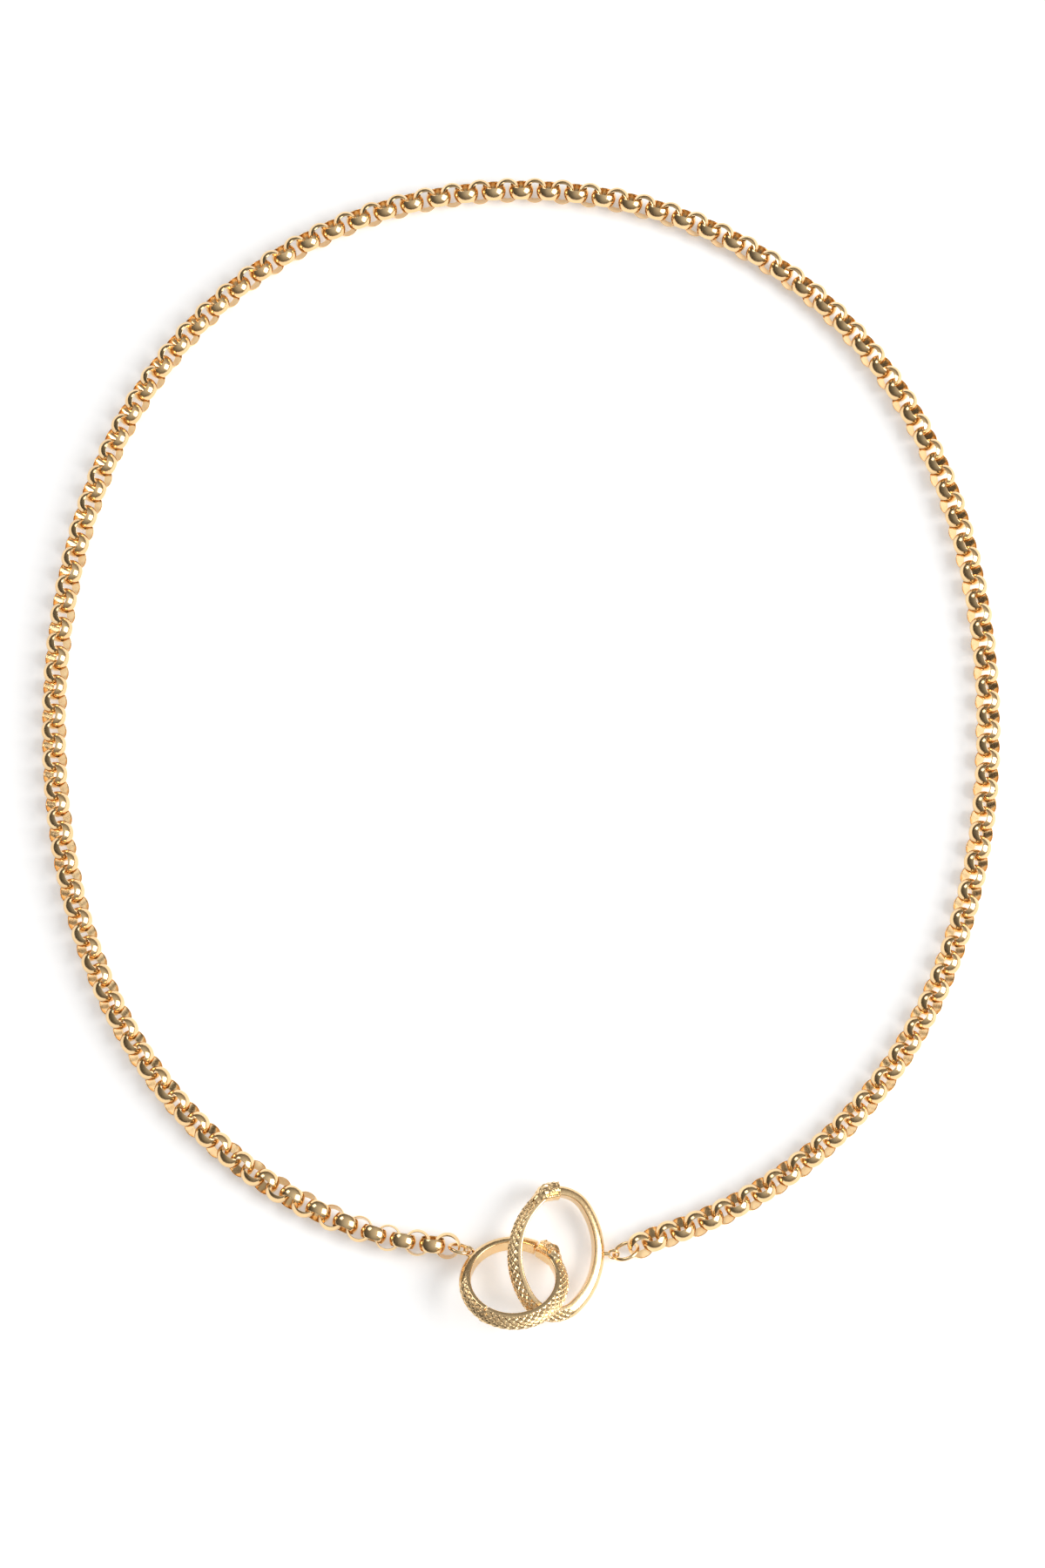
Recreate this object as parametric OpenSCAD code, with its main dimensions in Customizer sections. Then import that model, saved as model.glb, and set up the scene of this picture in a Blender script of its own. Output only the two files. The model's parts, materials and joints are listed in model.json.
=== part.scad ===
// Belcher chain necklace, closed at the front by two interlocked snake rings.
// Millimetres, +Z up. It lies open on a table at z = 0, and the origin is the centre
// of its footprint. The nape of the neck is at +Y and the snake rings are at -Y.

/* [Belcher link] */
// Outside diameter of a link at the crown of its dome
link_d = 3.5; // [3.48:0.01:3.6]
// Width of the half-round band that a link is bent from
link_w = 1.8; // [1.4:0.05:1.8]
// Thickness of that band at its crown
link_t = 0.32; // [0.26:0.01:0.34]
// Radius of the dome across the band
dome_r = 2.2; // [1.6:0.1:4]

/* [Chain run] */
// Mean distance from one link to the next
pitch = 2.0; // [1.97:0.01:2.01]
// How much closer the links lie at the nape and the front, and wider at the sides
pitch_swing = 0.06; // [0:0.01:0.06]
// Turn that makes the loop longer than it is wide, in degrees
oval_turn = 6.7; // [4:0.1:8]
// Turn that flattens the loop between its ends and sides, in degrees
corner_turn = -1.84; // [-3:0.02:0]

/* [Jump rings] */
// Wire of the jump rings
wire_d = 0.5; // [0.4:0.05:0.5]
// Radius of the left jump ring to the middle of its wire
left_ring_r = 1.32; // [1.3:0.01:1.36]
// Radius of the right jump ring to the middle of its wire
right_ring_r = 1.6; // [1.58:0.01:1.64]
// Wire of the eyes soldered to the snakes
eye_wire = 0.36; // [0.3:0.02:0.38]
// Radius of those eyes to the middle of their wire
eye_r = 0.64; // [0.62:0.01:0.66]

/* [Small snake] */
// Outside radius of the small snake ring, which is round
small_r = 7.1; // [7:0.05:7.2]
// How far the small ring leans, its front edge raised
small_lean = 26; // [25.5:0.5:26.5]

/* [Large snake] */
// Half length of the large snake ring
large_a = 8.9; // [8.7:0.05:9.1]
// Half width of the large snake ring
large_b = 6.4; // [6.3:0.05:6.5]
// How far the large ring leans, its left edge raised
large_lean = 12; // [11:0.5:13]

/* [Snake bands] */
// Height of a snake's band along its ring's axis
band_h = 2.0; // [1.8:0.05:2.1]
// Mean thickness of a snake's band
band_t = 1.66; // [1.55:0.01:1.75]
// How much thicker the belly is than the mean, and thinner the tail
belly = 0.3; // [0.2:0.01:0.34]
// Radius of the dome on a band's outer face
band_dome = 1.25; // [1.2:0.05:1.6]

/* [Gate] */
// Radius of the gate's hinge pin
pin_r = 0.24; // [0.2:0.01:0.26]
// Radial clearance of the pin in the turning knuckle
pin_clear = 0.03; // [0.02:0.01:0.06]
// Outside radius of the knuckles
knuckle_r = 0.58; // [0.54:0.01:0.62]

/* [Hidden] */
$fn = 48;
gold = [0.86, 0.69, 0.38];
half_steps = 110;
full_steps = 2 * half_steps;
back_links = 4;
last_left = 105;
last_right = 102;
edge_r = link_d / 2 - dome_r + sqrt(pow(dome_r, 2) - pow(link_w / 2, 2));
chain_z = (edge_r + link_w / 2) * sqrt(0.5);
twist_from = 88;
twist_step = 4;
twist_links = 17;
twist_lift = 0.07;

// the loop is laid out link by link, each step turned a little from the one before
function heading(s) = 180 + 360 * s / full_steps
    + oval_turn * sin(720 * s / full_steps)
    + corner_turn * sin(1440 * s / full_steps);
function stride(s) = (pitch - pitch_swing * cos(720 * s / full_steps))
    * [cos(heading(s)), sin(heading(s))];
half_loop = [for (s = 0, q = [0, 0]; s <= half_steps; q = q + stride(s + 0.5), s = s + 1) q];
loop_half = -half_loop[half_steps][1] / 2;
foot_y = 4.25;

// past the last bend the chain's two ends swing aside to meet the snakes
last_bend = 100;
left_swing = 5;
right_swing = -8;
function swing(s) = (s < 0 ? right_swing : left_swing)
    * min(1, max(0, abs(s) - last_bend + 0.1) / 1.5);
function end_stride(s) = (pitch - pitch_swing)
    * [cos(heading(abs(s)) + swing(s)), sin(heading(abs(s)) + swing(s))];
function place(s) = abs(s) <= last_bend
    ? half_loop[abs(s)]
    : place(s - sign(s)) + end_stride(s - 0.5 * sign(s));
function spot(s) = [sign(s) * place(s)[0], place(s)[1] + loop_half + foot_y];

// neighbours stand square to each other; near the left end the chain also rolls over
function turned(s) = min(twist_links, max(0, s - twist_from));
function roll(s) = (s % 2 == 0 ? 45 : -45) + twist_step * turned(s);
function link_z(s) = chain_z + twist_lift * turned(s) / twist_links;
function first_link(k) = k <= 9 ? 6 * k - 1 : 6 * k - 2;
function last_link(k) = k <= 8 ? 6 * k + 4 : 6 * k + 3;

// the large ring is an oval of four arcs, given by its half length, half width and end radius,
// and the small one is round; a station on either is named by its outward direction
small = [small_r];
large = [large_a, large_b, 4.9];
function is_round(o) = len(o) == 1;
function side_r(o) = (pow(o[0] - o[2], 2) + pow(o[1], 2) - pow(o[2], 2)) / (2 * (o[1] - o[2]));
function joint_dir(o) = atan2(o[0] - o[2], side_r(o) - o[1]);
function quarter(o, n) = let (j = joint_dir(o), m = (n + j + 720) % 360)
    m < 2 * j ? 0 : m < 180 ? 1 : m < 180 + 2 * j ? 2 : 3;
function arc_centre(o, k) = [
    [o[1] - side_r(o), 0], [0, o[0] - o[2]], [side_r(o) - o[1], 0], [0, o[2] - o[0]]
][k];
function arc_r(o, k) = k % 2 == 0 ? side_r(o) : o[2];
function arc_from(o, k) = [-joint_dir(o), joint_dir(o), 180 - joint_dir(o), 180 + joint_dir(o)][k];
function arc_to(o, k) = k == 3 ? 360 - joint_dir(o) : arc_from(o, k + 1);
belly_dir = 245;
function thick(n) = band_t + belly * cos(n - belly_dir);
function arc_station(o, k, n, out) = arc_centre(o, k) + (arc_r(o, k) + out) * [cos(n), sin(n)];
function station(o, n, out = 0) = is_round(o)
    ? (o[0] + out) * [cos(n), sin(n)]
    : arc_station(o, quarter(o, n), n, out);

small_mid = [-0.9, -78.9 + foot_y, 3.92];
large_mid = [4.5, -74.96 + foot_y, 2.71];
large_turn = -6.5;
function small_place(p) = let (x = -p[0], c = cos(small_lean), s = sin(small_lean))
    small_mid + [x, p[1] * c, -p[1] * s];
function large_place(p) = let (
        x = p[0] * cos(large_turn) - p[1] * sin(large_turn),
        y = p[0] * sin(large_turn) + p[1] * cos(large_turn)
    )
    large_mid + [x * cos(large_lean), y, -x * sin(large_lean)];

// stations on the snakes, as directions in the ring's own plane
small_eye_dir = 40;
small_tail_end = 117;
small_mouth = 121;
small_neck = 150;
hinge_dir = -52;
seam = 1.1;
large_eye_dir = 5;
large_mouth = 97;
large_neck = 147;
large_eye_out = 1.25;
small_eye_out = 0.52;

pin_at = station(small, hinge_dir, -0.6);
small_eye = small_place(station(small, small_eye_dir, small_eye_out));
large_eye = large_place(station(large, large_eye_dir, large_eye_out));
left_end = [spot(last_left)[0], spot(last_left)[1], link_z(last_left)];
right_end = [spot(-last_right)[0], spot(-last_right)[1], link_z(-last_right)];

module link_band() {
    intersection() {
        translate([link_d / 2 - dome_r, 0]) circle(r = dome_r);
        translate([link_d / 2 - link_t, -link_w / 2]) square([link_t + 1, link_w]);
    }
}

module belcher_link() {
    color(gold) rotate_extrude() link_band();
}

module link_at(s) {
    translate([spot(s)[0], spot(s)[1], link_z(s)])
        rotate([0, 0, heading(s) + sign(s) * swing(s)])
            rotate([roll(s), 0, 0])
                belcher_link();
}

// a run of separate links, each one threaded through the next
module chain_run(from, to) {
    for (s = [from : to]) link_at(s);
}

module chain_back() {
    chain_run(-back_links, back_links);
}

module chain_left(k) {
    chain_run(first_link(k), last_link(k));
}

module chain_right(k) {
    chain_run(-min(last_link(k), last_right), -first_link(k));
}

module wire_ring(r, d) {
    color(gold) rotate_extrude() translate([r, 0]) circle(r = d / 2);
}

// a wire ring whose middle lies near the line from one point to another, rolled about that line
module ring_between(from, to, at, side, r, turn) {
    way = to - from;
    translate(from + at * way / norm(way))
        rotate([0, -atan2(way[2], norm([way[0], way[1]])), atan2(way[1], way[0])])
            rotate([turn, 0, 0])
                translate([0, side, 0])
                    wire_ring(r, wire_d);
}

module left_jump_ring() {
    ring_between(left_end, small_eye, 1.65, 0.1, left_ring_r, -60);
}

module right_jump_ring() {
    ring_between(right_end, large_eye, 2.07, -0.2, right_ring_r, -135);
}

// the outside of the band is a dome, and its inside is flat along the ring's axis
module band_section(r) {
    intersection() {
        translate([r - band_dome, 0]) circle(r = band_dome);
        translate([r - 2.4, -band_h / 2]) square([3, band_h]);
    }
    translate([r - 2.4, -band_h / 2]) square([2.4 - band_dome, band_h]);
}

function circle_mid(a, b, c) = let (
        p = b - a, q = c - a,
        d = 2 * (p[0] * q[1] - p[1] * q[0])
    )
    a + [q[1] * (p * p) - p[1] * (q * q), p[0] * (q * q) - q[0] * (p * p)] / d;

// one arc of the band, thinned from inside by a round cut that is off centre
module band_arc(mid, r, from, to, cut_mid, cut_r) {
    difference() {
        translate(mid)
            rotate([0, 0, from])
                rotate_extrude(angle = to - from)
                    band_section(r);
        translate([cut_mid[0], cut_mid[1], -band_h])
            cylinder(r = cut_r, h = 2 * band_h);
    }
}

// an arc of the oval, its cut laid through three points of the inner face
module oval_arc(o, k, from, to) {
    inner = [for (n = [arc_from(o, k), (arc_from(o, k) + arc_to(o, k)) / 2, arc_to(o, k)])
        arc_station(o, k, n, -thick(n))];
    cut = circle_mid(inner[0], inner[1], inner[2]);
    band_arc(arc_centre(o, k), arc_r(o, k), from, to, cut, norm(inner[0] - cut));
}

// the band between two stations, the second one further round
module snake_band(o, from, to) {
    if (is_round(o))
        band_arc([0, 0], o[0], from, to, -belly * [cos(belly_dir), sin(belly_dir)], o[0] - band_t);
    else
        for (lap = [-360, 0, 360], k = [0 : 3]) {
            a = max(from, arc_from(o, k) + lap);
            b = min(to, arc_to(o, k) + lap);
            if (b - a > 0.01) oval_arc(o, k, a, b);
        }
}

module at_station(o, n, out = 0) {
    p = station(o, n, out);
    translate([p[0], p[1], 0]) rotate([0, 0, n]) children();
}

// skull and jaw are two rounded wedges that meet at the neck and part at the mouth
module snake_head(o, mouth, neck) {
    length = neck - mouth;
    hull() {
        at_station(o, neck, -0.8) sphere(r = 0.95, $fn = 24);
        at_station(o, mouth + 0.55 * length, -0.72) scale([1, 1, 1.12]) sphere(r = 1.22, $fn = 24);
        at_station(o, mouth + 0.14 * length, -0.3) scale([0.7, 1, 1.1]) sphere(r = 0.82, $fn = 24);
    }
    hull() {
        at_station(o, neck - 0.2 * length, -1) sphere(r = 0.85, $fn = 24);
        at_station(o, mouth + 0.16 * length, -1.45) scale([0.6, 1, 1.1]) sphere(r = 0.72, $fn = 24);
    }
    for (side = [-1, 1])
        at_station(o, mouth + 0.5 * length, -0.1) translate([0, 0, side * 0.85]) sphere(r = 0.34);
}

module small_frame() {
    translate(small_mid)
        rotate([-small_lean, 0, 0])
            mirror([1, 0, 0])
                color(gold) children();
}

module large_frame() {
    translate(large_mid)
        rotate([0, large_lean, 0])
            rotate([0, 0, large_turn])
                color(gold) children();
}

module knuckle(low, high, r) {
    translate([pin_at[0], pin_at[1], low]) cylinder(r = r, h = high - low);
}

module small_snake_tail() {
    small_frame()
        difference() {
            union() {
                snake_band(small, hinge_dir + seam, small_tail_end);
                knuckle(-0.32, 0.32, knuckle_r);
            }
            for (z = [-1.5, 0.36]) knuckle(z, z + 1.14, knuckle_r + 0.06);
            knuckle(-1, 1, pin_r + pin_clear);
            tongue_shape();
        }
}

module tongue_shape() {
    at_station(small, small_tail_end, -0.72)
        rotate([-90, 0, 0])
            translate([0, 0, -0.8])
                cylinder(r = 0.26, h = 1.7);
}

module gate_tongue() {
    small_frame() tongue_shape();
}

module small_snake_head() {
    small_frame() {
        difference() {
            union() {
                snake_band(small, small_mouth + 18, 360 + hinge_dir - seam);
                for (z = [-0.92, 0.4]) knuckle(z, z + 0.52, knuckle_r);
            }
            knuckle(-0.36, 0.36, knuckle_r + 0.06);
            knuckle(-1, 1, pin_r);
        }
        difference() {
            snake_head(small, small_mouth, small_neck);
            at_station(small, small_mouth, -0.74)
                rotate([-90, 0, 0])
                    translate([0, 0, -1.2])
                        cylinder(r = 0.42, h = 2.7);
        }
    }
}

module gate_pin() {
    small_frame() knuckle(-0.92, 0.92, pin_r);
}

// everything beyond the crown of the band at a station
module outside(o, n) {
    at_station(o, n) translate([0, -2, -2]) cube(4);
}

module small_snake_eye() {
    intersection() {
        translate(small_eye) rotate([0, 0, -40]) rotate([45, 0, 0]) wire_ring(eye_r, eye_wire);
        small_frame() outside(small, small_eye_dir);
    }
}

module large_snake_ring() {
    large_frame() {
        snake_band(large, large_mouth - 360 + 12, large_mouth + 3);
        snake_head(large, large_mouth, large_neck);
    }
}

module large_snake_eye() {
    intersection() {
        union() {
            translate(large_eye) rotate([45, 0, 0]) wire_ring(eye_r, eye_wire);
            large_frame()
                at_station(large, large_eye_dir, -0.1)
                    rotate([0, 90, 0])
                        cylinder(r = 0.3, h = large_eye_out - eye_r + 0.2);
        }
        large_frame() outside(large, large_eye_dir);
    }
}

chain_back();
chain_left(1);  // chain_left_01
chain_left(2);  // chain_left_02
chain_left(3);  // chain_left_03
chain_left(4);  // chain_left_04
chain_left(5);  // chain_left_05
chain_left(6);  // chain_left_06
chain_left(7);  // chain_left_07
chain_left(8);  // chain_left_08
chain_left(9);  // chain_left_09
chain_left(10);  // chain_left_10
chain_left(11);  // chain_left_11
chain_left(12);  // chain_left_12
chain_left(13);  // chain_left_13
chain_left(14);  // chain_left_14
chain_left(15);  // chain_left_15
chain_left(16);  // chain_left_16
chain_left(17);  // chain_left_17
chain_right(1);  // chain_right_01
chain_right(2);  // chain_right_02
chain_right(3);  // chain_right_03
chain_right(4);  // chain_right_04
chain_right(5);  // chain_right_05
chain_right(6);  // chain_right_06
chain_right(7);  // chain_right_07
chain_right(8);  // chain_right_08
chain_right(9);  // chain_right_09
chain_right(10);  // chain_right_10
chain_right(11);  // chain_right_11
chain_right(12);  // chain_right_12
chain_right(13);  // chain_right_13
chain_right(14);  // chain_right_14
chain_right(15);  // chain_right_15
chain_right(16);  // chain_right_16
chain_right(17);  // chain_right_17
left_jump_ring();
right_jump_ring();
small_snake_eye();
small_snake_tail();
small_snake_head();
gate_pin();
gate_tongue();
large_snake_eye();
large_snake_ring();
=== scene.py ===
import json
import math
import bpy
import numpy as np
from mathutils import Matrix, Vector


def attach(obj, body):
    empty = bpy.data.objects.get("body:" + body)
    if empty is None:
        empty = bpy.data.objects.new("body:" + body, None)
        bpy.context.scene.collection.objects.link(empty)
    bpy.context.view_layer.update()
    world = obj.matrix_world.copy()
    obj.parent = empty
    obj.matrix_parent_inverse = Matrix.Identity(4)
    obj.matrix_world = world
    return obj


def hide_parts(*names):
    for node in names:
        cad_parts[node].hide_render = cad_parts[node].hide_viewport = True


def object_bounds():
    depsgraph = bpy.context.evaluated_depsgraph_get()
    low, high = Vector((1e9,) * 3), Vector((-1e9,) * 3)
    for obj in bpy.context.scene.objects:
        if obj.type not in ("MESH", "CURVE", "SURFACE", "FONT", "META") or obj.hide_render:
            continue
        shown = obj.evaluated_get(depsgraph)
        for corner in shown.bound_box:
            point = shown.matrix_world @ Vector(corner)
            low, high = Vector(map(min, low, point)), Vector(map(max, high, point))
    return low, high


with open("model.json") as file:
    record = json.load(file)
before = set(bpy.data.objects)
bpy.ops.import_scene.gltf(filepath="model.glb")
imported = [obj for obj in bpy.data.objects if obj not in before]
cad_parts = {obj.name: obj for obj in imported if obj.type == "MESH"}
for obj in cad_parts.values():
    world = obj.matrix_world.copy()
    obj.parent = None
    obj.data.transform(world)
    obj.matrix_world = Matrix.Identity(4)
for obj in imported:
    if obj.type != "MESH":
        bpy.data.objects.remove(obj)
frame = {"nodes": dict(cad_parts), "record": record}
cad_low, cad_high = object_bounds()
record = frame["record"]
rng = np.random.default_rng(11)
MM = 0.001


def unit(v):
    v = np.array(v, float)
    return v / np.linalg.norm(v)


# ---------------------------------------------------------------- materials

def add(nodes, kind, **settings):
    """A shader node with some of its inputs or properties set."""
    n = nodes.new(kind)
    for key, value in settings.items():
        if key in n.inputs:
            n.inputs[key].default_value = value
        else:
            setattr(n, key, value)
    return n


def gold(name, pale, deep, rough, scratch, dent):
    """Polished gold: its colour drifts, and hairlines and soft dents show in its gloss and bump."""
    m = bpy.data.materials.new(name)
    m.use_nodes = True
    nodes, links = m.node_tree.nodes, m.node_tree.links
    shader = nodes["Principled BSDF"]
    shader.inputs["Metallic"].default_value = 1.0
    shader.inputs["Specular IOR Level"].default_value = 0.5
    place = nodes.new("ShaderNodeTexCoord")
    tint = add(nodes, "ShaderNodeTexNoise", Scale=420.0, Detail=4.0, Roughness=0.6)
    links.new(place.outputs["Object"], tint.inputs["Vector"])
    ramp = nodes.new("ShaderNodeValToRGB")
    ramp.color_ramp.elements[0].position = 0.34
    ramp.color_ramp.elements[0].color = (*deep, 1)
    ramp.color_ramp.elements[1].position = 0.66
    ramp.color_ramp.elements[1].color = (*pale, 1)
    links.new(tint.outputs["Fac"], ramp.inputs["Fac"])
    links.new(ramp.outputs["Color"], shader.inputs["Base Color"])
    heights = []
    for turn, stretch in ((0.5, (900, 9000, 5000)), (2.1, (8000, 700, 6000))):
        way = nodes.new("ShaderNodeMapping")
        way.inputs["Rotation"].default_value = (0.3 * turn, 0.2, turn)
        way.inputs["Scale"].default_value = stretch
        links.new(place.outputs["Object"], way.inputs["Vector"])
        lines = add(nodes, "ShaderNodeTexNoise", Scale=1.0, Detail=3.0, Roughness=0.55)
        links.new(way.outputs["Vector"], lines.inputs["Vector"])
        heights.append(lines)
    both = add(nodes, "ShaderNodeMath", operation="MULTIPLY")
    links.new(heights[0].outputs["Fac"], both.inputs[0])
    links.new(heights[1].outputs["Fac"], both.inputs[1])
    soft = add(nodes, "ShaderNodeTexNoise", Scale=1500.0, Detail=2.0, Roughness=0.5)
    links.new(place.outputs["Object"], soft.inputs["Vector"])
    gloss = add(nodes, "ShaderNodeMapRange")
    gloss.inputs["From Min"].default_value = 0.12
    gloss.inputs["From Max"].default_value = 0.42
    gloss.inputs["To Min"].default_value = rough[0]
    gloss.inputs["To Max"].default_value = rough[1]
    links.new(both.outputs[0], gloss.inputs["Value"])
    links.new(gloss.outputs["Result"], shader.inputs["Roughness"])
    hair = add(nodes, "ShaderNodeBump", Strength=scratch, Distance=0.00001)
    links.new(both.outputs[0], hair.inputs["Height"])
    wave = add(nodes, "ShaderNodeBump", Strength=dent, Distance=0.00004)
    links.new(soft.outputs["Fac"], wave.inputs["Height"])
    links.new(hair.outputs["Normal"], wave.inputs["Normal"])
    links.new(wave.outputs["Normal"], shader.inputs["Normal"])
    return m


chain_gold = gold("chain_gold", (0.97, 0.71, 0.39), (0.92, 0.62, 0.31), (0.12, 0.25), 0.25, 0.12)
snake_gold = gold("snake_gold", (0.96, 0.71, 0.40), (0.90, 0.62, 0.32), (0.16, 0.31), 0.3, 0.2)
ring_gold = gold("ring_gold", (0.97, 0.71, 0.40), (0.92, 0.63, 0.32), (0.12, 0.24), 0.2, 0.1)


# ---------------------------------------------------------------- helpers

def grid_mesh(name, rows, closed_rows=False, caps=(False, False)):
    """Points and faces from rows of points; each row is a closed ring, and the rows may close too."""
    rows = np.asarray(rows, float)
    count, around = rows.shape[:2]
    verts = rows.reshape(-1, 3)
    last = count if closed_rows else count - 1
    i, j = np.meshgrid(np.arange(last), np.arange(around), indexing="ij")
    k, l = (i + 1) % count, (j + 1) % around
    corners = [i * around + j, i * around + l, k * around + l, k * around + j]
    quads = np.stack(corners, -1).reshape(-1, 4)
    faces = [tuple(int(v) for v in q) for q in quads]
    extra = []
    for end, wanted in zip((0, count - 1), caps):
        if not wanted:
            continue
        hub = len(verts) + len(extra)
        extra.append(rows[end].mean(0))
        for a in range(around):
            pair = (end * around + a, end * around + (a + 1) % around)
            faces.append((hub, pair[1], pair[0]) if end == 0 else (hub, pair[0], pair[1]))
    if extra:
        verts = np.vstack([verts, extra])
    return verts, faces


def make(name, parts, material, body, nodes):
    """One object from (points, faces) parts in mm; it rides on a body and stands for CAD nodes."""
    verts, faces, base = [], [], 0
    for points, quads in parts:
        verts.append(points)
        faces.extend(tuple(v + base for v in q) for q in quads)
        base += len(points)
    mesh = bpy.data.meshes.new(name)
    mesh.from_pydata((np.vstack(verts) * MM).tolist(), [], faces)
    mesh.update()
    mesh.polygons.foreach_set("use_smooth", [True] * len(mesh.polygons))
    mesh.materials.append(material)
    piece = bpy.data.objects.new(name, mesh)
    bpy.context.scene.collection.objects.link(piece)
    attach(piece, body)
    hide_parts(*nodes)
    return piece


def solids_of(node):
    """The points of each separate solid of a CAD node, in mm."""
    mesh = frame["nodes"][node].data
    co = np.array([v.co for v in mesh.vertices]) / MM
    key = np.round(co, 3)
    _, where = np.unique(key, axis=0, return_inverse=True)
    where = where.ravel()
    parent = np.arange(where.max() + 1)

    def root(a):
        while parent[a] != a:
            parent[a] = parent[parent[a]]
            a = parent[a]
        return a

    for e in mesh.edges:
        a, b = root(where[e.vertices[0]]), root(where[e.vertices[1]])
        if a != b:
            parent[a] = b
    label = np.array([root(w) for w in where])
    return [co[label == r] for r in np.unique(label)]


# ---------------------------------------------------------------- chain links

LINK_R, LINK_W, LINK_T, DOME_R = 1.75, 1.8, 0.32, 1.6


def link_profile():
    """Radius and height around the band's section: domed outside, flat inside, every edge rounded."""
    z = np.linspace(-LINK_W / 2, LINK_W / 2, 13)
    outer = np.c_[LINK_R - DOME_R + np.sqrt(DOME_R ** 2 - z ** 2), z]
    inner = np.c_[np.full(9, LINK_R - LINK_T), np.linspace(LINK_W / 2, -LINK_W / 2, 9)]
    line = np.vstack([outer, inner])
    fine = []
    for a, b in zip(line, np.roll(line, -1, 0)):
        fine.extend(a + (b - a) * f for f in (0, 0.5))
    fine = np.array(fine)
    for _ in range(2):
        fine = 0.5 * fine + 0.25 * (np.roll(fine, 1, 0) + np.roll(fine, -1, 0))
    return fine


PROFILE = link_profile()


def link(points):
    """A finely rounded link in the place and direction of one solid of the CAD chain."""
    centre = (points.min(0) + points.max(0)) / 2
    spread = points - points.mean(0)
    _, ways = np.linalg.eigh(spread.T @ spread)
    axis = ways[:, 0]
    side = unit(np.cross(axis, [0.3, 0.2, 0.9]))
    front = np.cross(axis, side)
    turns = np.linspace(0, 2 * np.pi, 84, endpoint=False)
    wobble = 1 + 0.002 * np.sin(2 * turns + rng.uniform(0, 6))
    rows = [
        centre + np.outer(PROFILE[:, 0] * w, math.cos(t) * side + math.sin(t) * front)
        + np.outer(PROFILE[:, 1] * 0.995, axis)
        for t, w in zip(turns, wobble)
    ]
    return grid_mesh("link", rows, closed_rows=True)


body_of_node = {n: b for b, ns in record["behaviour"]["bodies"].items() for n in ns}
for node in sorted(frame["nodes"]):
    if node.startswith("chain_"):
        parts = [link(points) for points in solids_of(node)]
        make(node.replace("chain_", "links_"), parts, chain_gold, body_of_node[node], [node])


# ---------------------------------------------------------------- snake rings

class Ring:
    """A snake ring's own plane: stations are outward directions in degrees, lengths in mm."""

    def __init__(self, middle, across, along, axis, arcs):
        self.middle, self.across = np.array(middle, float), np.array(across, float)
        self.along, self.axis = np.array(along, float), np.array(axis, float)
        self.arcs = arcs
        stations = np.linspace(-360, 720, 4321)
        points = np.array([self.plane(n) for n in stations])
        steps = np.r_[0, np.cumsum(np.linalg.norm(np.diff(points, axis=0), axis=1))]
        self.length_at = lambda n: np.interp(n, stations, steps)

    def plane(self, n):
        out = np.array([math.cos(math.radians(n)), math.sin(math.radians(n))])
        if len(self.arcs) == 1:
            return self.arcs[0] * out
        a, b, e = self.arcs
        side_r = ((a - e) ** 2 + b ** 2 - e ** 2) / (2 * (b - e))
        joint = math.degrees(math.atan2(a - e, side_r - b))
        m = (n + joint) % 360
        if m < 2 * joint:
            return np.array([b - side_r, 0]) + side_r * out
        if m < 180:
            return np.array([0, a - e]) + e * out
        if m < 180 + 2 * joint:
            return np.array([side_r - b, 0]) + side_r * out
        return np.array([0, e - a]) + e * out

    def world(self, n, out, up):
        """Points at station n from their distance beyond the crown and height along the ring's axis."""
        way = np.array([math.cos(math.radians(n)), math.sin(math.radians(n))])
        flat = self.plane(n) + np.outer(out, way)
        return self.middle + np.outer(flat[:, 0], self.across) + np.outer(flat[:, 1], self.along) \
            + np.outer(up, self.axis)


# the band in mm: thickness, how much thicker its belly is, its straight sides, the hinge barrel's
# radius and how far the barrel's axis lies under the crown
BAND_T, BELLY, SIDE, KNUCKLE_R, PIN_DEPTH = 1.66, 0.3, 0.28, 0.5, 0.6
DOME = np.radians(np.linspace(-90, 90, 72))


def thick(n):
    """The band's thickness at a station: full at the belly, slender opposite it."""
    return BAND_T + BELLY * math.cos(math.radians(n - 245))


def smooth(a, b, x):
    t = np.clip((x - a) / (b - a), 0, 1)
    return t * t * (3 - 2 * t)


def section(n):
    """The band's section at a station as (out, up) points: first its dome, then its flat inside."""
    t = thick(n)
    deep = t - SIDE
    dome = np.c_[deep * (np.cos(DOME) - 1), np.sin(DOME)]
    side = np.linspace(-deep, -t, 4)[1:]
    floor = np.linspace(1, -1, 14)[1:-1]
    top, bottom = np.c_[side, np.ones(3)], np.c_[side[::-1], -np.ones(3)]
    line = np.vstack([dome, top, np.c_[np.full(12, -t), floor], bottom])
    for _ in range(3):
        line = 0.5 * line + 0.25 * (np.roll(line, 1, 0) + np.roll(line, -1, 0))
    return line


def scales(s, w, long=1.12, wide=0.76):
    """Depth of the scale pattern, from 0 on a scale's raised edge to 1 in the groove between scales."""
    u, v = s / long + w / wide, s / long - w / wide
    fu, fv = u - np.floor(u), v - np.floor(v)
    edge = np.minimum(0.5 - np.abs(fu - 0.5), 0.5 - np.abs(fv - 0.5))
    groove = 1 - smooth(0.0, 0.2, edge)
    tilt = 0.5 - 0.5 * (fu + fv - 1)
    return 0.62 * groove + 0.38 * tilt * (1 - groove)


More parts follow.
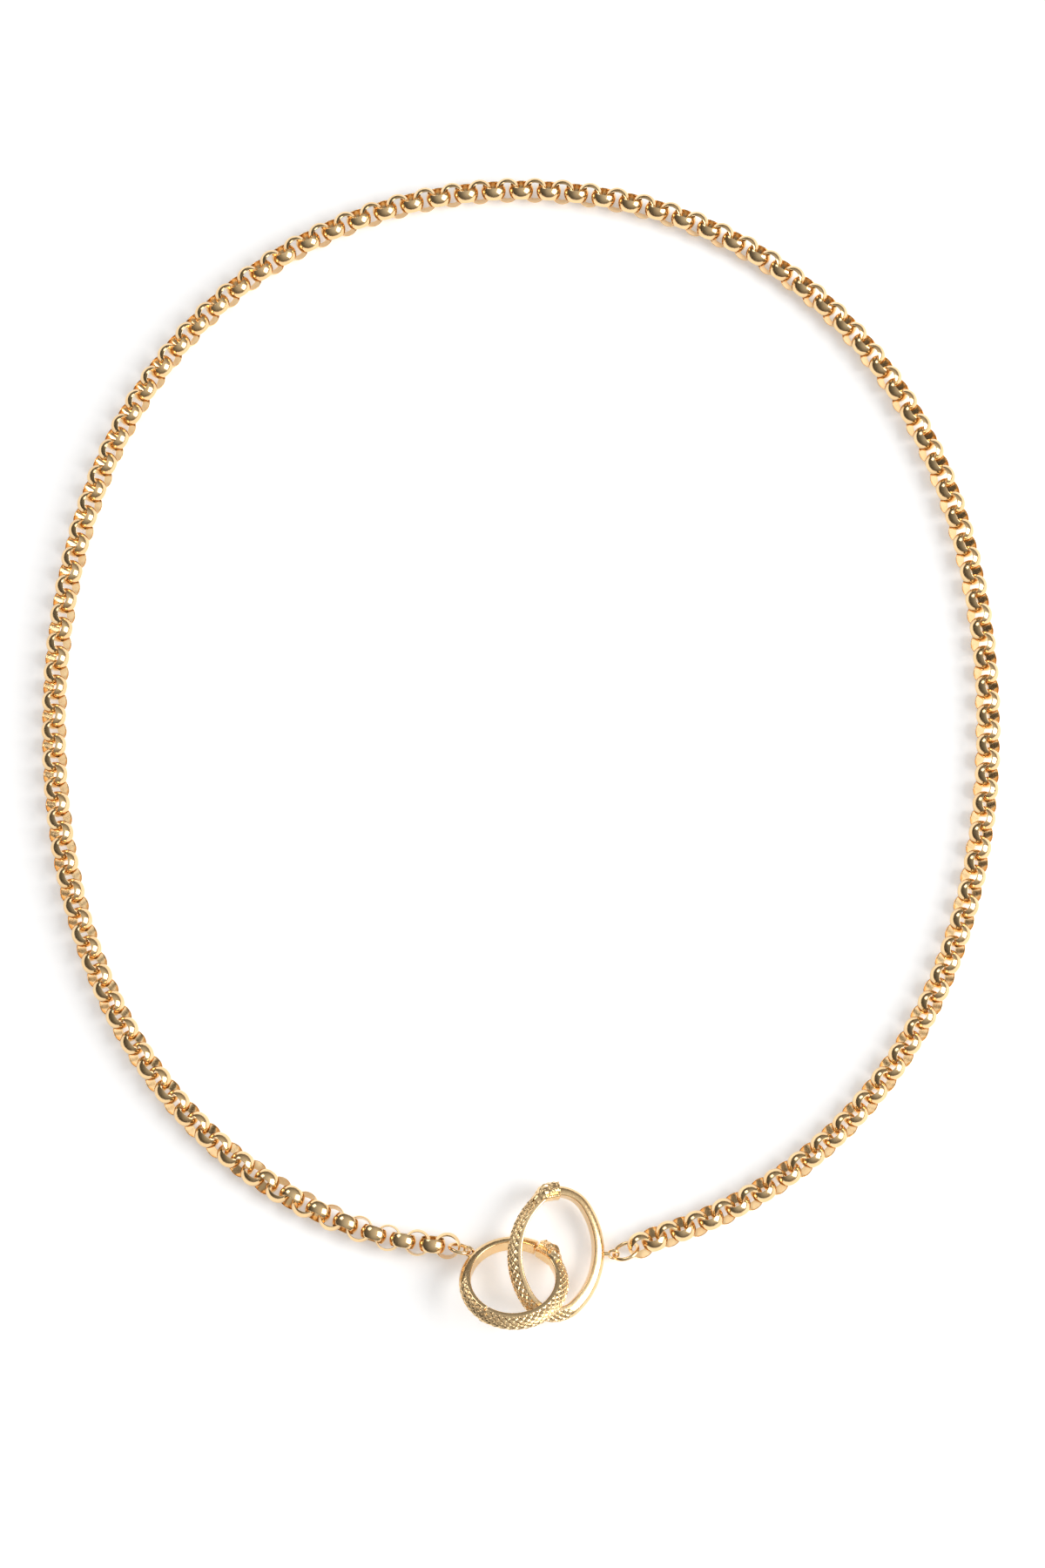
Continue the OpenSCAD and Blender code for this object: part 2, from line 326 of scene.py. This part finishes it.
def band(ring, start, stop, scaly, step=0.045, caps=(True, True)):
    """The band from one station to another; scaly(n) says how deep the scales are cut there."""
    length = ring.length_at(stop) - ring.length_at(start)
    count = max(8, int(length / step))
    stations = np.linspace(start, stop, count)
    rows = []
    for n in stations:
        line = section(n)
        depth = scaly(n)
        if depth > 0:
            dome = line[:len(DOME)]
            run = np.r_[0, np.cumsum(np.linalg.norm(np.diff(dome, axis=0), axis=1))]
            w = run - run[-1] / 2
            normal = np.gradient(dome, axis=0) @ np.array([[0, -1], [1, 0]])
            normal /= np.linalg.norm(normal, axis=1)[:, None]
            fade = smooth(80, 71, np.abs(np.degrees(DOME)))
            cut = depth * fade * scales(ring.length_at(n), w)
            line[:len(DOME)] = dome + cut[:, None] * normal * np.sign(normal[36, 0]) * -1
        rows.append(ring.world(n, line[:, 0], line[:, 1]))
    rows = np.array(rows)
    for end in (0, -1):
        hub = rows[end].mean(0)
        rows[end] = hub + (rows[end] - hub) * 0.93
    return grid_mesh("band", rows, caps=caps)


# bumps on a head: distance from the mouth (mm), angle round the head from outward (degrees),
# length, width and height (mm); the head's bumps are in pairs, one each side, and the crest's are single
HEAD_BUMPS = [
    (2.05, 38, 0.75, 0.24, 0.30), (1.35, 52, 0.30, 0.24, 0.16), (2.75, 44, 0.40, 0.26, 0.18),
    (0.42, 34, 0.26, 0.2, 0.2), (0.95, 30, 0.3, 0.2, 0.13),
    (1.55, 64, 0.34, 0.3, -0.26), (0.46, 52, 0.12, 0.1, -0.12),
    (1.62, 65, 0.17, 0.17, 0.34),
    (2.5, 78, 0.5, 0.3, 0.17), (3.15, 62, 0.42, 0.3, 0.14), (3.3, 96, 0.5, 0.34, 0.12),
    (0.08, 74, 0.17, 0.17, 0.2), (0.5, 78, 0.17, 0.17, 0.16), (0.92, 82, 0.17, 0.17, 0.15),
    (1.34, 86, 0.17, 0.16, 0.13), (1.76, 92, 0.18, 0.16, 0.12),
    (0.08, 122, 0.16, 0.17, 0.18), (0.46, 122, 0.17, 0.17, 0.15), (0.86, 122, 0.17, 0.17, 0.14),
    (1.26, 123, 0.17, 0.17, 0.12), (1.7, 124, 0.18, 0.17, 0.1), (2.2, 124, 0.24, 0.18, 0.1),
]
CREST_BUMPS = [
    (0.1, 12, 0.2, 0.18, 0.18), (0.62, 0, 0.3, 0.26, 0.17), (1.3, 0, 0.34, 0.28, 0.13),
    (1.98, 10, 0.28, 0.2, 0.12), (2.6, 0, 0.3, 0.3, 0.12), (3.2, 14, 0.3, 0.22, 0.1),
]


def head(ring, mouth, turn, length=3.9):
    """A snake's head from its neck to its open mouth; turn is +1 when the neck is at a larger station."""
    around = 120
    phi = np.linspace(-180, 180, around, endpoint=False)
    distances = np.r_[np.linspace(length, 0.06, 96), 0.02, 0.0]
    per_degree = (ring.length_at(mouth + 20) - ring.length_at(mouth)) / 20
    mid = -0.78
    rows = []
    for d in distances:
        t = d / length
        reach = np.interp(t, [0, 0.12, 0.35, 0.6, 0.8, 1], [0.38, 0.44, 0.5, 0.46, 0.22, -0.03])
        half = np.interp(t, [0, 0.15, 0.4, 0.65, 0.85, 1], [1.1, 1.16, 1.28, 1.32, 1.12, 0.97])
        inner = np.interp(t, [0, 0.4, 1], [1.86, 1.84, thick(mouth + 20) - 0.02])
        c, s = np.cos(np.radians(phi)), np.sin(np.radians(phi))
        size_out = np.where(c > 0, reach - mid, inner + mid)
        power = np.where(c > 0, 0.92, 0.66)
        out = size_out * np.sign(c) * np.abs(c) ** power
        up = half * np.sign(s) * np.abs(s) ** 0.86
        lift = np.zeros(around)
        for bumps, paired in ((HEAD_BUMPS, True), (CREST_BUMPS, False)):
            for at, angle, long, wide, high in bumps:
                off = (np.abs(phi) if paired else phi) - angle
                gap = ((d - at) / long) ** 2 + (math.radians(1) * off * 1.12 / wide) ** 2
                lift += high * np.exp(-1.6 * gap)
        lips = np.exp(-((np.abs(phi) - 101) * math.radians(1) * 1.15 / 0.13) ** 2)
        lift -= 0.24 * lips * (1 - smooth(2.1, 2.7, d))
        nape = smooth(2.2, 3.0, d) * (np.abs(phi) < 100)
        lift -= 0.07 * scales(d + 0.3, phi * math.radians(1) * 1.1) * nape
        lift *= smooth(length, length - 0.5, d) if d > length - 0.5 else 1
        size = 1 + lift / 1.2
        edge = 1.0 if d > 0.05 else (0.97 if d > 0.01 else 0.9)
        rows.append(ring.world(mouth + turn * d / per_degree, mid + (out * size) * edge, up * size * edge))
    collar = rows[0].mean(0)
    rows = [collar + (rows[0] - collar) * k for k in (0.8, 0.93)] + rows
    rim = np.array(rows[-1])
    core = ring.world(mouth, np.full(1, -0.8), np.zeros(1))[0]
    for shrink, d in ((0.78, 0.02), (0.66, 0.12), (0.56, 0.4), (0.4, 0.75)):
        deep = ring.world(mouth + turn * d / per_degree, np.full(1, -0.8), np.zeros(1))[0]
        rows.append(deep + (rim - core) * shrink)
    return grid_mesh("head", rows, caps=(False, True))


def knuckle(ring, at, low, high, r):
    """A hinge knuckle: a short barrel along the ring's axis, filed flush with the band's dome."""
    ang = np.linspace(0, 2 * np.pi, 48, endpoint=False)
    turn = math.radians(at)
    tangent = math.cos(turn) * ring.along - math.sin(turn) * ring.across
    rows = []
    for h in np.linspace(low, high, 9):
        rim = 0.86 if h in (low, high) else 1.0
        crown = (thick(at) - SIDE) * (math.sqrt(1 - h * h) - 1)
        out = np.minimum(-PIN_DEPTH + r * rim * np.cos(ang), crown + 0.04)
        barrel = ring.world(at, out, np.full(48, h))
        rows.append(barrel + np.outer(r * rim * np.sin(ang), tangent))
    return grid_mesh("knuckle", rows, caps=(True, True))


mounts = {m["name"]: m for m in record["mounts"]}
SMALL_LEAN, LARGE_LEAN, LARGE_TURN = (math.radians(a) for a in (26, 12, -6.5))
# in mm: the small ring's radius, the large oval's half-length, half-width and end radius, and the step
# from the small ring's centre to the large one's
SMALL_ARCS, LARGE_ARCS = [7.1], [8.9, 6.4, 4.9]
LARGE_FROM_SMALL = (5.4, 3.94, -1.21)
small_mid = np.array(mounts["clasp_gate"]["pos_m"]) / MM
small = Ring(
    small_mid, (-1, 0, 0), (0, math.cos(SMALL_LEAN), -math.sin(SMALL_LEAN)),
    (0, math.sin(SMALL_LEAN), math.cos(SMALL_LEAN)), SMALL_ARCS)


def lean_right(v):
    """A direction of the large ring's own plane, turned on the table and leant over sideways."""
    x, y, z = v
    c, s = math.cos(LARGE_TURN), math.sin(LARGE_TURN)
    x, y = x * c - y * s, x * s + y * c
    c, s = math.cos(LARGE_LEAN), math.sin(LARGE_LEAN)
    return np.array([x * c + z * s, y, -x * s + z * c])


large = Ring(
    small_mid + np.array(LARGE_FROM_SMALL), lean_right((1, 0, 0)), lean_right((0, 1, 0)),
    lean_right((0, 0, 1)), LARGE_ARCS)

DEPTH = 0.27  # mm, how deep the scales are cut
# stations in degrees; a seam is the half-gap in the band at the hinge, and a band starts behind its head
HINGE, SEAM = 308, 1.1
SMALL_MOUTH, SMALL_TAIL_END, LARGE_MOUTH = 121, 117, 97
NECK = 26


def small_scales(n):
    return DEPTH * float(1 - smooth(-22, 6, n if n < 200 else -100))


def large_scales(n):
    return DEPTH * float(smooth(-46, -64, n))


make("snake_ring_large", [
    band(large, LARGE_MOUTH - 360 + NECK, LARGE_MOUTH + 3, large_scales),
    head(large, LARGE_MOUTH, 1),
], snake_gold, body_of_node["large_snake_ring"], ["large_snake_ring"])

make("snake_gate_small", [
    band(small, SMALL_MOUTH + NECK, HINGE - SEAM, lambda n: DEPTH),
    head(small, SMALL_MOUTH, 1),
    knuckle(small, HINGE, 0.38, 0.86, KNUCKLE_R),
    knuckle(small, HINGE, -0.86, -0.38, KNUCKLE_R),
], snake_gold, body_of_node["small_snake_head"], ["small_snake_head"])

make("snake_tail_small", [
    band(small, HINGE - 360 + SEAM, SMALL_TAIL_END, small_scales),
    knuckle(small, HINGE, -0.32, 0.32, KNUCKLE_R),
], snake_gold, body_of_node["small_snake_tail"], ["small_snake_tail"])

KEPT = (
    "left_jump_ring", "right_jump_ring", "small_snake_eye", "large_snake_eye", "gate_tongue", "gate_pin",
)
for node in KEPT:
    piece = frame["nodes"][node]
    for spot in piece.material_slots:
        spot.material = ring_gold
    for polygon in piece.data.polygons:
        polygon.use_smooth = True


# ---------------------------------------------------------------- studio

def stage_mesh(name, size, z):
    mesh = bpy.data.meshes.new(name)
    corners = [(x * size, y * size, z) for x, y in ((-1, -1), (1, -1), (1, 1), (-1, 1))]
    mesh.from_pydata(corners, [], [(0, 1, 2, 3)])
    piece = bpy.data.objects.new(name, mesh)
    bpy.context.scene.collection.objects.link(piece)
    return piece


floor = stage_mesh("floor", 3.0, cad_low[2])
paper = bpy.data.materials.new("paper")
paper.use_nodes = True
sheet = paper.node_tree.nodes["Principled BSDF"].inputs
sheet["Base Color"].default_value = (0.94, 0.94, 0.94, 1)
sheet["Roughness"].default_value = 0.9
sheet["Emission Color"].default_value = (1, 1, 1, 1)
sheet["Emission Strength"].default_value = 0.3
floor.data.materials.append(paper)

world = bpy.data.worlds.new("studio")
bpy.context.scene.world = world
world.use_nodes = True
sky, wires = world.node_tree.nodes, world.node_tree.links
direction = sky.new("ShaderNodeTexCoord")
parts = sky.new("ShaderNodeSeparateXYZ")
wires.new(direction.outputs["Generated"], parts.inputs["Vector"])
shade = sky.new("ShaderNodeValToRGB")
shade.color_ramp.elements[0].position = 0.0
shade.color_ramp.elements[0].color = (0.07, 0.06, 0.05, 1)
shade.color_ramp.elements[1].position = 0.95
shade.color_ramp.elements[1].color = (0.54, 0.54, 0.54, 1)
middle = shade.color_ramp.elements.new(0.5)
middle.color = (0.30, 0.295, 0.29, 1)
wires.new(parts.outputs["Z"], shade.inputs["Fac"])
sideways = add(sky, "ShaderNodeMapRange")
sideways.inputs["From Min"].default_value = -0.7
sideways.inputs["From Max"].default_value = 0.7
sideways.inputs["To Min"].default_value = 0.42
sideways.inputs["To Max"].default_value = 1.45
wires.new(parts.outputs["X"], sideways.inputs["Value"])
wires.new(sideways.outputs["Result"], sky["Background"].inputs["Strength"])
wires.new(shade.outputs["Color"], sky["Background"].inputs["Color"])


def softbox(name, at, size, power):
    light = bpy.data.lights.new(name, "AREA")
    light.shape = "RECTANGLE"
    light.size, light.size_y = size
    light.energy = power
    lamp = bpy.data.objects.new(name, light)
    lamp.location = at
    lamp.rotation_euler = (Vector((0, 0, 0)) - Vector(at)).to_track_quat("-Z", "Y").to_euler()
    bpy.context.scene.collection.objects.link(lamp)


softbox("key", (0.95, -0.2, 0.62), (0.8, 0.8), 13)
softbox("fill", (-0.6, 0.7, 0.8), (0.5, 0.5), 2.2)

camera = bpy.data.objects.new("camera", bpy.data.cameras.new("camera"))
bpy.context.scene.collection.objects.link(camera)
bpy.context.scene.camera = camera
camera.data.sensor_fit = "VERTICAL"
camera.data.sensor_height = 36
camera.data.lens = 85.3
camera.data.clip_start = 0.01
ELEVATION, DISTANCE = math.radians(74), 0.5
aim = Vector((0.0002, -0.0068, 0))
camera.location = aim + DISTANCE * Vector((0, -math.cos(ELEVATION), math.sin(ELEVATION)))
camera.rotation_euler = (aim - camera.location).to_track_quat("-Z", "Y").to_euler()
bpy.context.scene.view_settings.view_transform = "Standard"
